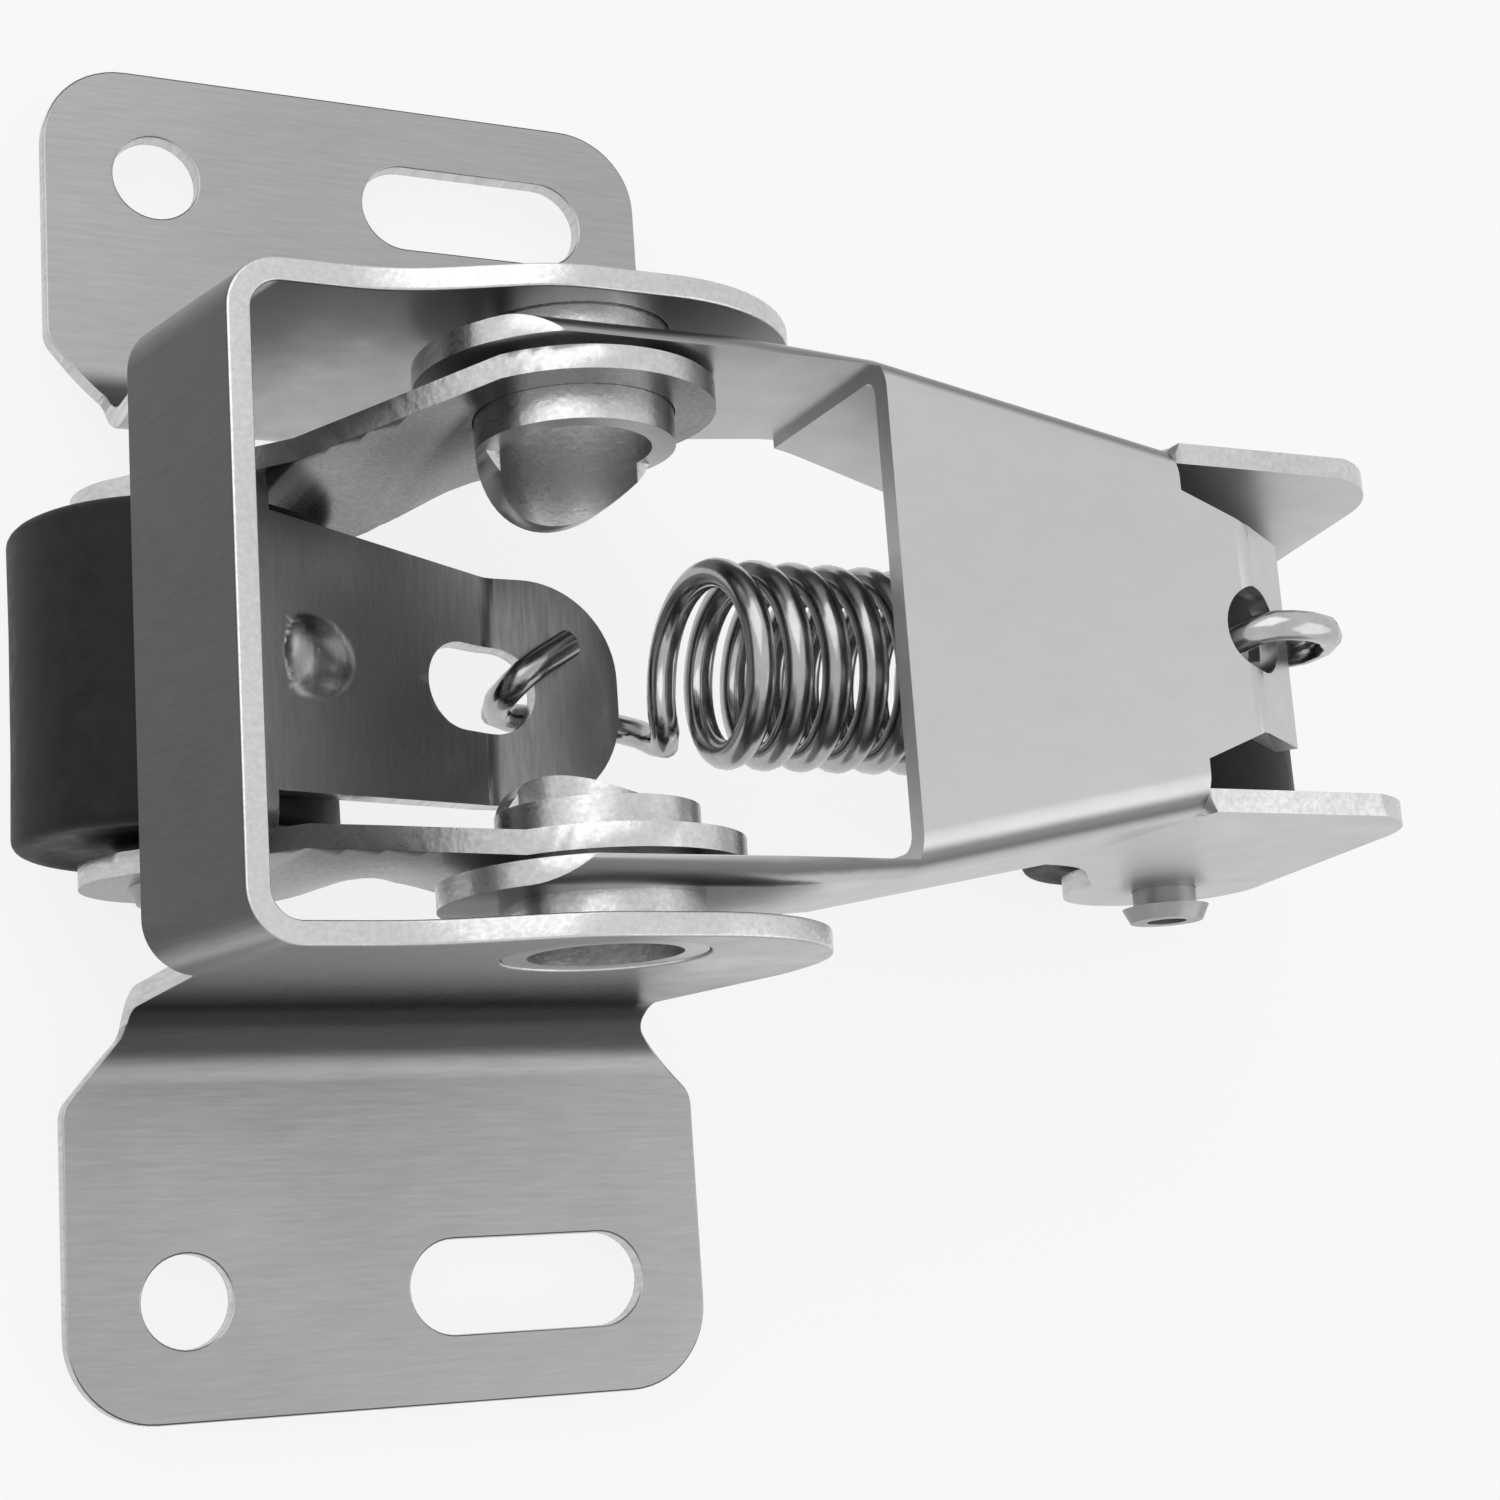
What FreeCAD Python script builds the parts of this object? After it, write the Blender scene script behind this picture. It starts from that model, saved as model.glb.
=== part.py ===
"""Spring-loaded double roller catch for a screen door.

A bent frame with two screw flanges carries a lever and a yoke on one pivot. Each of them holds
a rubber roller on a riveted axle, and an extension spring pulls their far ends together.

Millimetres. Origin: midway between the two round screw holes, on the flanges' back plane.
+X runs from the yoke's roller to the lever's roller, +Y along the roller axles, +Z away from the
surface that the catch is screwed to.
"""
import FreeCAD, Part
import math
import os

from FreeCAD import Vector

SHEET = 1.1

# Frame: one stamping with two screw flanges
FLANGE_LEFT = -5.85
FLANGE_RIGHT = 27.35
FLANGE_OUT = 34.45
FLANGE_CORNER = 4.3
HOLE_Y = 28.75
HOLE_DIA = 4.5
SLOT_X = 17.6
SLOT_LENGTH = 12.6
SLOT_WIDTH = 4.7
FRAME_HALF = 15.0
FLANGE_BEND = 3.4
BEND_TRIM = 1.0
WALL_LEFT = -3.0
WALL_RIGHT = 24.2
WALL_BULGE = 2.0
WALL_TOP = 24.0
WEB_BOTTOM = 15.0
WEB_BOTTOM_X = -5.3
WEB_LEAN = 0.24
WEB_CORNER = 2.5
EAR_TOP = 26.8
EAR_ROUND = 9.5
EAR_START = 4.5

# Pivot line shared by frame, lever and yoke
PIVOT_X = 14.2
PIVOT_Z = 20.6
PIVOT_BORE = 9.4
PIVOT_FIT = 0.06
COLLAR_WALL = 1.1

# Lever: one stamping
LEVER_GAP = 1.25
LEVER_WEB_NARROWER = 0.45
LEVER_NEAR = 27.5
LEVER_FOLD = 1.9
LEVER_WEB_X = 26.9
LEVER_ARM_X = 20.0
LEVER_TAPER_X = 42.8
ARM_END_RADIUS = 7.4
LEVER_LOW_Z = 16.5
LEG_LOW_X = 45.5
LEG_LOW_Z = 12.5
LEG_TOP_X = 48.0
LEG_SHOULDER = 7.0
LOBE_RADIUS = 5.6
RELIEF_HALF = 6.6
TAB_X = 46.3
TAB_HALF = 5.2
TAB_RUN = 4.3
TAB_DROP = 3.1
TAB_BEND = 0.7
HOOK_HOLE_LEFT = 44.7
HOOK_HOLE_RIGHT = 49.2
HOOK_HOLE_WIDTH = 4.2
TRUNNION_SHORT = 0.1
COLLAR_REACH = 8.5
LUG_REACH = 6.0
LUG_BELOW = 0.8

# Yoke: one stamping
YOKE_ARM_GAP = 0.35
YOKE_ROLLER_GAP = 0.75
YOKE_FLARE_START = 2.0
YOKE_FLARE_END = 9.0
YOKE_EAR_RADIUS = 4.7
YOKE_RING_RADIUS = 6.6
YOKE_FOLD = 2.5
BRIDGE_LEFT = -2.0
BRIDGE_RIGHT = 1.2
BRIDGE_DEPTH = 6.0
CREASE_X = 14.1
CREASE_Z = 8.8
CREASE_BEND = 2.0
TONGUE_HALF = 6.6
TONGUE_END_HALF = 5.8
TONGUE_END_X = 21.0
TONGUE_END_ROUND = 5.0
TONGUE_SLOT_LEFT = 10.2
TONGUE_SLOT_RIGHT = 16.5
TONGUE_SLOT_WIDTH = 4.4
DART_LEFT = 1.8
DART_RIGHT = 5.4
DART_HALF = 2.0
DART_HEIGHT = 0.8

# Rollers and riveted axles
ROLLER_DIA = 15.5
ROLLER_LENGTH = 15.3
ROLLER_EDGE = 0.5
ROLLER_Z = 5.8
YOKE_ROLLER_X = -1.1
LEVER_ROLLER_X = 55.4
ROLLER_CLEARANCE = 0.35
AXLE_DIA = 3.5
AXLE_FIT = 0.04
ROLLER_FIT = 0.05
HEAD_DIA = 4.8
HEAD_THICK = 0.8
HEAD_EDGE = 0.4
LEVER_HEAD_STANDOFF = 1.0
LEVER_AXLE_BORE = 2.2
LEVER_AXLE_BORE_DEPTH = 1.6

# Extension spring
WIRE_DIA = 1.5
COIL_DIA = 10.4
COIL_PITCH = 2.02
COIL_TURNS = 10
COIL_X = 22.2
COIL_Z = 15.9
HOOK_GAP = 0.12
SHANK_GAP = 0.38
COIL_STEPS = 14
WIRE_SIDES = 8
HOOK_STEP = 1.0

LEVER_HALF = FRAME_HALF - SHEET - LEVER_GAP
LEVER_WEB_HALF = LEVER_HALF - LEVER_WEB_NARROWER
LEVER_TIP_HALF = ROLLER_LENGTH / 2 + ROLLER_CLEARANCE + SHEET
YOKE_EAR_HALF = ROLLER_LENGTH / 2 + YOKE_ROLLER_GAP + SHEET
YOKE_ARM_HALF = LEVER_HALF - SHEET - YOKE_ARM_GAP
ROLLER_R = ROLLER_DIA / 2
WIRE_R = WIRE_DIA / 2
COIL_R = (COIL_DIA - WIRE_DIA) / 2
JOURNAL_R = PIVOT_BORE / 2 - PIVOT_FIT
HIGH = 60.0
MITRED_BENDS = 1
Y_AXIS = Vector(0, 1, 0)


def rounded_wire(points):
    """Closed wire through (vector, corner radius) pairs."""
    count = len(points)
    legs = []
    arcs = []
    for i in range(count):
        here, radius = points[i]
        if radius <= 0:
            legs.append((here, here))
            arcs.append(None)
            continue
        back = (points[i - 1][0] - here).normalize()
        ahead = (points[(i + 1) % count][0] - here).normalize()
        half = back.getAngle(ahead) / 2
        reach = radius / math.tan(half)
        middle = (back + ahead).normalize()
        tip = here + middle * (radius / math.sin(half) - radius)
        first = here + back * reach
        last = here + ahead * reach
        legs.append((first, last))
        arcs.append(Part.Arc(first, tip, last).toShape())
    edges = []
    for i in range(count):
        if arcs[i] is not None:
            edges.append(arcs[i])
        leave = legs[i][1]
        arrive = legs[(i + 1) % count][0]
        if (arrive - leave).Length > 1e-6:
            edges.append(Part.LineSegment(leave, arrive).toShape())
    return Part.Wire(edges)


def side_plate(outline, low_y, high_y):
    """Plate seen from the side: (x, z, corner radius) points between two y values."""
    wire = rounded_wire([(Vector(x, low_y, z), r) for x, z, r in outline])
    return Part.Face(wire).extrude(Vector(0, high_y - low_y, 0))


def plan_plate(outline, low_z, high_z):
    """Plate seen from above: (x, y, corner radius) points between two z values."""
    wire = rounded_wire([(Vector(x, y, low_z), r) for x, y, r in outline])
    return Part.Face(wire).extrude(Vector(0, 0, high_z - low_z))


def stadium(left, right, y, width):
    """Upright cutter with round ends, as long as the part is high."""
    r = width / 2
    body = Part.makeBox(right - left - width, width, 2 * HIGH, Vector(left + r, y - r, -HIGH))
    ends = [Part.makeCylinder(r, 2 * HIGH, Vector(x, y, -HIGH)) for x in (left + r, right - r)]
    return body.fuse(ends).removeSplitter()


def rod(x, z, radius, low_y, high_y):
    """Cylinder along Y."""
    return Part.makeCylinder(radius, high_y - low_y, Vector(x, low_y, z), Y_AXIS)


def mirrored(shape):
    """A shape's twin across the XZ plane."""
    return shape.mirror(Vector(0, 0, 0), Y_AXIS)


def joined(shapes):
    """One solid from touching or overlapping shapes."""
    return shapes[0].fuse(shapes[1:]).removeSplitter()


def web_x(z):
    """Outer face of the frame's web, which leans with height."""
    return WEB_BOTTOM_X + (z - WEB_BOTTOM) * WEB_LEAN


def frame_channel():
    """Web and two walls: a U profile drawn up along the web's lean."""
    foot = SHEET + FLANGE_BEND
    rise = EAR_TOP + 1 - foot
    left = web_x(foot)
    far = FLANGE_RIGHT + 2
    inner = FRAME_HALF - SHEET
    inner_corner = WEB_CORNER - SHEET
    outline = [
        (far, FRAME_HALF, 0), (left, FRAME_HALF, WEB_CORNER), (left, -FRAME_HALF, WEB_CORNER),
        (far, -FRAME_HALF, 0), (far, -inner, 0), (left + SHEET, -inner, inner_corner),
        (left + SHEET, inner, inner_corner), (far, inner, 0),
    ]
    wire = rounded_wire([(Vector(x, y, foot), r) for x, y, r in outline])
    return Part.Face(wire).extrude(Vector(WEB_LEAN * rise, 0, rise))


def frame_side():
    """The frame's side view: web end, wall and ear round the pivot."""
    foot = SHEET + FLANGE_BEND
    bulge = WALL_RIGHT + WALL_BULGE
    behind = web_x(0) - 5
    return [
        (WALL_LEFT, foot - 1, 0), (WALL_LEFT, WEB_BOTTOM, 0), (behind, WEB_BOTTOM, 0),
        (behind, WALL_TOP, 0), (EAR_START, WALL_TOP, 12), (PIVOT_X - 3, EAR_TOP, 8),
        (bulge, EAR_TOP, EAR_ROUND), (bulge, WEB_BOTTOM, 6), (WALL_RIGHT, foot, 0),
        (WALL_RIGHT, foot - 1, 0),
    ]


def flange():
    """Screw flange on the +Y side with its bend, round hole and slot."""
    top_r = FLANGE_BEND
    low_r = FLANGE_BEND + SHEET
    crease = FRAME_HALF + FLANGE_BEND
    x = FLANGE_LEFT
    slant = math.sqrt(0.5)
    top_mid = Vector(x, crease - top_r * slant, low_r - top_r * slant)
    low_mid = Vector(x, crease - low_r * slant, low_r - low_r * slant)
    corners = [
        Vector(x, FRAME_HALF, low_r), Vector(x, FRAME_HALF - SHEET, low_r), Vector(x, crease, 0),
        Vector(x, FLANGE_OUT, 0), Vector(x, FLANGE_OUT, SHEET), Vector(x, crease, SHEET),
    ]
    edges = [
        Part.LineSegment(corners[0], corners[1]), Part.Arc(corners[1], low_mid, corners[2]),
        Part.LineSegment(corners[2], corners[3]), Part.LineSegment(corners[3], corners[4]),
        Part.LineSegment(corners[4], corners[5]), Part.Arc(corners[5], top_mid, corners[0]),
    ]
    face = Part.Face(Part.Wire([e.toShape() for e in edges]))
    blank = face.extrude(Vector(FLANGE_RIGHT - FLANGE_LEFT, 0, 0))
    trim = plan_plate([
        (FLANGE_LEFT, FLANGE_OUT, FLANGE_CORNER), (FLANGE_RIGHT, FLANGE_OUT, FLANGE_CORNER),
        (FLANGE_RIGHT, crease + BEND_TRIM, 1.5), (WALL_RIGHT, FRAME_HALF + BEND_TRIM, 1.2),
        (WALL_RIGHT, FRAME_HALF - 2 * SHEET, 0), (WALL_LEFT, FRAME_HALF - 2 * SHEET, 0),
        (WALL_LEFT, FRAME_HALF + BEND_TRIM, 1.2), (FLANGE_LEFT, crease + BEND_TRIM, 1.5),
    ], -1, HIGH)
    hole = Part.makeCylinder(HOLE_DIA / 2, HIGH, Vector(0, HOLE_Y, -1))
    slot = stadium(SLOT_X - SLOT_LENGTH / 2, SLOT_X + SLOT_LENGTH / 2, HOLE_Y, SLOT_WIDTH)
    return blank.common(trim).cut([hole, slot])


def mounting_frame():
    """Leaning web, two walls with pivot ears and two outward flanges."""
    side = side_plate(frame_side(), -FRAME_HALF - 1, FRAME_HALF + 1)
    bore = rod(PIVOT_X, PIVOT_Z, PIVOT_BORE / 2, -FRAME_HALF - 1, FRAME_HALF + 1)
    channel = frame_channel().common(side).cut(bore)
    right = flange()
    return joined([channel, right, mirrored(right)])


def arch(x, half, near, fold):
    """Closed U-shaped section across X: straight sides and a rounded near face."""
    low = -HIGH / 2
    return rounded_wire([
        (Vector(x, -half, low), 0), (Vector(x, -half, near), fold),
        (Vector(x, half, near), fold), (Vector(x, half, low), 0),
    ])


def lever_form(offset):
    """Solid under the lever's near face, drawn in by an offset."""
    start = PIVOT_X - ARM_END_RADIUS - 2
    end = LEVER_ROLLER_X + LOBE_RADIUS + 2
    stations = [
        (start, LEVER_HALF), (LEVER_ARM_X, LEVER_HALF), (LEVER_WEB_X, LEVER_WEB_HALF),
        (LEVER_TAPER_X, LEVER_TIP_HALF), (end, LEVER_TIP_HALF),
    ]
    sections = []
    for x, half in stations:
        sections.append(arch(x, half - offset, LEVER_NEAR - offset, LEVER_FOLD - offset))
    return Part.makeLoft(sections, True, True)


def lever_side():
    """The lever's side view: arm end, walls, leg and lobe round the axle."""
    reach = LEVER_HALF + 1
    lobe = LOBE_RADIUS * 0.98
    body = side_plate([
        (PIVOT_X, LEVER_NEAR + 1, 0), (LEG_TOP_X, LEVER_NEAR + 1, 0),
        (LEVER_ROLLER_X + 1, LEVER_NEAR - 1, LEG_SHOULDER),
        (LEVER_ROLLER_X + lobe, ROLLER_Z + 1, 0), (LEVER_ROLLER_X - lobe, ROLLER_Z + 1, 0),
        (LEG_LOW_X, LEG_LOW_Z, 5), (LEVER_WEB_X, LEVER_LOW_Z, 6),
        (PIVOT_X, PIVOT_Z - ARM_END_RADIUS, 0),
    ], -reach, reach)
    arm_end = rod(PIVOT_X, PIVOT_Z, ARM_END_RADIUS, -reach, reach)
    lobe_end = rod(LEVER_ROLLER_X, ROLLER_Z, LOBE_RADIUS, -reach, reach)
    return body.fuse([arm_end, lobe_end])


def lever_shell():
    """Web and walls with true bends, open between the arms and beyond the taper."""
    shell = lever_form(0).cut(lever_form(SHEET)).common(lever_side())
    window = Part.makeBox(HIGH, 2 * HIGH, HIGH, Vector(LEVER_WEB_X - HIGH, -HIGH, 0))
    inner = LEVER_HALF - SHEET
    gap = Part.makeBox(HIGH, 2 * inner, HIGH, Vector(LEVER_WEB_X - HIGH, -inner, 0))
    tip = LEVER_TIP_HALF - SHEET
    beyond = Part.makeBox(HIGH, 2 * tip, HIGH, Vector(LEVER_TAPER_X, -tip, 0))
    return shell.cut([window.common(gap), beyond])


def lever_tab():
    """The web's narrowed end and its tab, bent down past the hook hole."""
    start = LEVER_TAPER_X - 1
    slope = math.hypot(TAB_RUN, TAB_DROP)
    in_x = -TAB_DROP / slope * SHEET
    in_z = -TAB_RUN / slope * SHEET
    end_x = TAB_X + TAB_RUN
    end_z = LEVER_NEAR - TAB_DROP
    band = side_plate([
        (start, LEVER_NEAR, 0), (TAB_X, LEVER_NEAR, TAB_BEND + SHEET), (end_x, end_z, 0),
        (end_x + in_x, end_z + in_z, 0), (TAB_X - SHEET / 3, LEVER_NEAR - SHEET, TAB_BEND),
        (start, LEVER_NEAR - SHEET, 0),
    ], -LEVER_TIP_HALF, LEVER_TIP_HALF)
    full = LEVER_TIP_HALF - LEVER_FOLD
    outline = [
        (start, full, 0), (LEVER_TAPER_X, RELIEF_HALF, 0), (TAB_X, TAB_HALF, 0),
        (end_x + 2, TAB_HALF, 0), (end_x + 2, -TAB_HALF, 0), (TAB_X, -TAB_HALF, 0),
        (LEVER_TAPER_X, -RELIEF_HALF, 0), (start, -full, 0),
    ]
    hole = stadium(HOOK_HOLE_LEFT, HOOK_HOLE_RIGHT, 0, HOOK_HOLE_WIDTH)
    return band.common(plan_plate(outline, 0, HIGH)).cut(hole)


def pivot_collar():
    """Turned-in collar on the +Y arm: journal each way, and a rounded lug reaching inwards."""
    outer_end = FRAME_HALF - TRUNNION_SHORT
    tube = rod(PIVOT_X, PIVOT_Z, JOURNAL_R, COLLAR_REACH, outer_end)
    lug = rod(PIVOT_X, PIVOT_Z, JOURNAL_R, LUG_REACH, COLLAR_REACH + 1)
    nose = Part.makeCylinder(JOURNAL_R, HIGH, Vector(PIVOT_X, LUG_REACH + JOURNAL_R, 0))
    low = Part.makeBox(HIGH, HIGH, HIGH, Vector(PIVOT_X - HIGH / 2, 0, PIVOT_Z - LUG_BELOW - HIGH))
    lug = lug.common(nose).common(low)
    bore = rod(PIVOT_X, PIVOT_Z, JOURNAL_R - COLLAR_WALL, 0, HIGH)
    return tube.fuse(lug).cut(bore)


def catch_lever():
    """The lever: web, tab, two walls and the pivot collars, from one sheet."""
    reach = LEVER_HALF + 1
    bore = rod(PIVOT_X, PIVOT_Z, JOURNAL_R - COLLAR_WALL, -reach, reach)
    axle_hole = rod(LEVER_ROLLER_X, ROLLER_Z, AXLE_DIA / 2 + AXLE_FIT, -reach, reach)
    shell = lever_shell().cut([bore, axle_hole])
    collar = pivot_collar()
    return joined([shell, lever_tab(), collar, mirrored(collar)])


def plate_slope():
    """Slope of the yoke's plate: it just clears the roller and ends in the crease."""
    away = ROLLER_R + ROLLER_CLEARANCE + SHEET
    dx = CREASE_X - YOKE_ROLLER_X
    dz = CREASE_Z - ROLLER_Z
    angle = math.atan2(dz, dx) + math.acos(away / math.hypot(dx, dz))
    touch_x = YOKE_ROLLER_X + away * math.cos(angle)
    touch_z = ROLLER_Z + away * math.sin(angle)
    return (CREASE_Z - touch_z) / (CREASE_X - touch_x)


def plate_z(x):
    """Near face of the yoke's sloping plate."""
    return CREASE_Z + (x - CREASE_X) * plate_slope()


def yoke_bridge():
    """The plate's folded left end, which joins the two side plates over the roller."""
    near = plate_z(BRIDGE_LEFT)
    shapes = []
    for offset in (0, SHEET):
        half = YOKE_EAR_HALF - offset
        top = near - offset * math.hypot(1, plate_slope())
        low = near - BRIDGE_DEPTH
        wire = rounded_wire([
            (Vector(BRIDGE_LEFT, -half, low), 0), (Vector(BRIDGE_LEFT, -half, top), YOKE_FOLD - offset),
            (Vector(BRIDGE_LEFT, half, top), YOKE_FOLD - offset), (Vector(BRIDGE_LEFT, half, low), 0),
        ])
        run = BRIDGE_RIGHT - BRIDGE_LEFT
        shapes.append(Part.Face(wire).extrude(Vector(run, 0, run * plate_slope())))
    return shapes[0].cut(shapes[1])


def dart(drop):
    """The plate's raised dart, or with a drop the hollow under it."""
    sections = []
    for x, share in ((DART_LEFT, 1.0), (DART_RIGHT, 0.15)):
        half = DART_HALF * share
        base = plate_z(x) - SHEET / 4 - drop
        peak = Vector(x, 0, plate_z(x) + DART_HEIGHT * share - drop)
        left = Vector(x, -half, base)
        right = Vector(x, half, base)
        arc = Part.Arc(left, peak, right).toShape()
        sections.append(Part.Wire([arc, Part.LineSegment(right, left).toShape()]))
    return Part.makeLoft(sections, True, True)


def yoke_plate():
    """Sloping plate with its dart, crease, slot and round-ended tongue."""
    slope = plate_slope()
    drop = SHEET * math.hypot(1, slope)
    start = BRIDGE_RIGHT - 0.6
    band = side_plate([
        (start, plate_z(start), 0), (CREASE_X, CREASE_Z, CREASE_BEND), (TONGUE_END_X, CREASE_Z, 0),
        (TONGUE_END_X, CREASE_Z - SHEET, 0), (CREASE_X - SHEET / 4, CREASE_Z - SHEET, CREASE_BEND + SHEET),
        (start, plate_z(start) - drop, 0),
    ], -YOKE_EAR_HALF, YOKE_EAR_HALF)
    outline = plan_plate([
        (start, TONGUE_HALF, 0), (CREASE_X, TONGUE_END_HALF, 0),
        (TONGUE_END_X, TONGUE_END_HALF, TONGUE_END_ROUND),
        (TONGUE_END_X, -TONGUE_END_HALF, TONGUE_END_ROUND), (CREASE_X, -TONGUE_END_HALF, 0),
        (start, -TONGUE_HALF, 0),
    ], -1, HIGH)
    slot = stadium(TONGUE_SLOT_LEFT, TONGUE_SLOT_RIGHT, 0, TONGUE_SLOT_WIDTH)
    return band.common(outline).cut(slot).fuse(dart(0)).cut(dart(SHEET))


def yoke_side():
    """Side plate on the +Y side: ear round the axle, flared arm and ring round the pivot."""
    low, high = 0, HIGH / 2
    ear = rod(YOKE_ROLLER_X, ROLLER_Z, YOKE_EAR_RADIUS, low, high)
    ring = rod(PIVOT_X, PIVOT_Z, YOKE_RING_RADIUS, low, high)
    dx = PIVOT_X - YOKE_ROLLER_X
    dz = PIVOT_Z - ROLLER_Z
    length = math.hypot(dx, dz)
    along = math.atan2(dz, dx)
    spread = math.acos((YOKE_EAR_RADIUS - YOKE_RING_RADIUS) / length)
    corners = []
    for angle in (along - spread, along + spread):
        side = [(YOKE_ROLLER_X, ROLLER_Z, YOKE_EAR_RADIUS), (PIVOT_X, PIVOT_Z, YOKE_RING_RADIUS)]
        if angle > along:
            side.reverse()
        for x, z, r in side:
            corners.append((x + r * math.cos(angle), z + r * math.sin(angle), 0))
    arm = side_plate(corners, low, high)
    profile = arm.fuse([ear, ring])
    left = YOKE_ROLLER_X - YOKE_EAR_RADIUS - 1
    right = PIVOT_X + YOKE_RING_RADIUS + 1
    strip = plan_plate([
        (left, YOKE_EAR_HALF, 0), (YOKE_FLARE_START, YOKE_EAR_HALF, 0),
        (YOKE_FLARE_END, YOKE_ARM_HALF, 0), (right, YOKE_ARM_HALF, 0),
        (right, YOKE_ARM_HALF - SHEET, 0), (YOKE_FLARE_END, YOKE_ARM_HALF - SHEET, 0),
        (YOKE_FLARE_START, YOKE_EAR_HALF - SHEET, 0), (left, YOKE_EAR_HALF - SHEET, 0),
    ], -5, HIGH)
    bearing = rod(PIVOT_X, PIVOT_Z, PIVOT_BORE / 2, low, high)
    axle_hole = rod(YOKE_ROLLER_X, ROLLER_Z, AXLE_DIA / 2 + AXLE_FIT, low, high)
    return profile.common(strip).cut([bearing, axle_hole])


def roller_yoke():
    """The yoke: side plates joined over the roller by the folded plate with its tongue."""
    side = yoke_side()
    return joined([yoke_bridge(), yoke_plate(), side, mirrored(side)])


def roller(x):
    """Rubber roller with eased ends, bored for its axle."""
    half = ROLLER_LENGTH / 2
    body = rod(x, ROLLER_Z, ROLLER_R, -half, half)
    rims = [e for e in body.Edges if isinstance(e.Curve, Part.Circle)]
    body = body.makeChamfer(ROLLER_EDGE, rims)
    return body.cut(rod(x, ROLLER_Z, AXLE_DIA / 2 + ROLLER_FIT, -half - 1, half + 1))


def axle(x, carrier_half, standoff, bore):
    """Rivet through two walls with a spread head at each end, tubular when bored."""
    inner = carrier_half + standoff
    outer = inner + HEAD_THICK
    r = AXLE_DIA / 2
    head = HEAD_DIA / 2
    profile = [
        (0, 0), (r, 0), (r, inner), (head, inner), (head - HEAD_EDGE, outer), (0, outer),
    ]
    points = [Vector(a, b, 0) for a, b in profile]
    half = Part.Face(Part.makePolygon(points + points[:1])).revolve(Vector(0, 0, 0), Y_AXIS, 360)
    solid = joined([half, mirrored(half)])
    solid.translate(Vector(x, 0, ROLLER_Z))
    if bore > 0:
        for side in (1, -1):
            base = Vector(x, side * outer, ROLLER_Z)
            drill = Part.makeCylinder(bore / 2, LEVER_AXLE_BORE_DEPTH, base, Vector(0, -side, 0))
            solid = solid.cut(drill)
    return solid


def eased(poles):
    """Evenly spaced points on a smooth curve drawn by its poles, ends kept."""
    curve = Part.BSplineCurve()
    curve.buildFromPoles(poles, False, 3)
    count = max(4, round(curve.length() / HOOK_STEP))
    return curve.discretize(Number=count)


def coil_points():
    """Wire centre of the close coil along X, from its lowest point to its highest."""
    steps = round((COIL_TURNS + 0.5) * COIL_STEPS)
    points = []
    for i in range(steps + 1):
        turn = i / COIL_STEPS
        angle = 2 * math.pi * turn
        y = COIL_R * math.sin(angle)
        z = COIL_Z - COIL_R * math.cos(angle)
        points.append(Vector(COIL_X + COIL_PITCH * turn, y, z))
    return points


def wire_section(centre, along):
    """Eight-sided section of the wire, with the round wire's area."""
    wedge = math.pi / WIRE_SIDES
    radius = WIRE_R * math.sqrt(wedge / (math.sin(wedge) * math.cos(wedge)))
    across = along.cross(Vector(0, 0, 1)).normalize()
    up = across.cross(along).normalize()
    corners = []
    for i in range(WIRE_SIDES):
        angle = 2 * math.pi * (i + 0.5) / WIRE_SIDES
        corners.append(centre + across * (radius * math.cos(angle)) + up * (radius * math.sin(angle)))
    return Part.makePolygon(corners + corners[:1])


def tension_spring():
    """One wire: a shank through the yoke's tongue, the coil, and a shank through the lever's tab."""
    under = CREASE_Z - SHEET - WIRE_R - SHANK_GAP
    over = CREASE_Z + WIRE_R + HOOK_GAP
    up_x = TONGUE_SLOT_RIGHT - WIRE_R - SHANK_GAP
    past = TONGUE_END_X + WIRE_R + 2 * HOOK_GAP
    turns = coil_points()
    low = COIL_Z - COIL_R
    left = [
        Vector(up_x + 3.0, 2.4, over), Vector(up_x + 1.0, 1.2, over + 0.4),
        Vector(up_x - 0.4, 0, over + 0.6), Vector(up_x - 0.3, -0.6, under - 0.5),
        Vector(up_x + 2.2, -0.8, under - 0.1), Vector(TONGUE_END_X, -1.0, under - 0.1),
        Vector(past + 0.8, -1.5, under + 0.8), Vector(past + 0.8, -3.2, low - 0.8),
        Vector(COIL_X - 0.1, -1.4, low), turns[0],
    ]
    tab_end = TAB_X + TAB_RUN
    tab_low = LEVER_NEAR - TAB_DROP
    rise_x = HOOK_HOLE_LEFT + WIRE_R + 0.9
    far = turns[-1].x
    right = [
        turns[-1], Vector(far + 0.1, -1.4, COIL_Z + COIL_R), Vector(far + 0.6, -3.0, COIL_Z + COIL_R + 1.6),
        Vector(rise_x - 0.9, -0.9, LEVER_NEAR - SHEET - 2.2), Vector(rise_x + 0.2, 0, LEVER_NEAR),
        Vector(rise_x + 1.6, 0, LEVER_NEAR + 0.8), Vector(tab_end - 0.2, 0, LEVER_NEAR + 0.4),
        Vector(tab_end + 1.7, 0, tab_low + 1.0), Vector(tab_end + 1.2, 0, tab_low - 1.8),
        Vector(tab_end - 1.4, 0, tab_low - 2.0),
    ]
    points = eased(left) + turns[1:-1] + eased(right)
    path = Part.makePolygon(points)
    section = wire_section(points[0], (points[1] - points[0]).normalize())
    return path.makePipeShell([section], True, False, MITRED_BENDS)


def write(name, shape):
    """One piece to its own file."""
    print(name, "solids", len(shape.Solids), "valid", shape.isValid(), "volume", round(shape.Volume, 1))
    shape.exportStep("parts/" + name + ".step")


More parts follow.
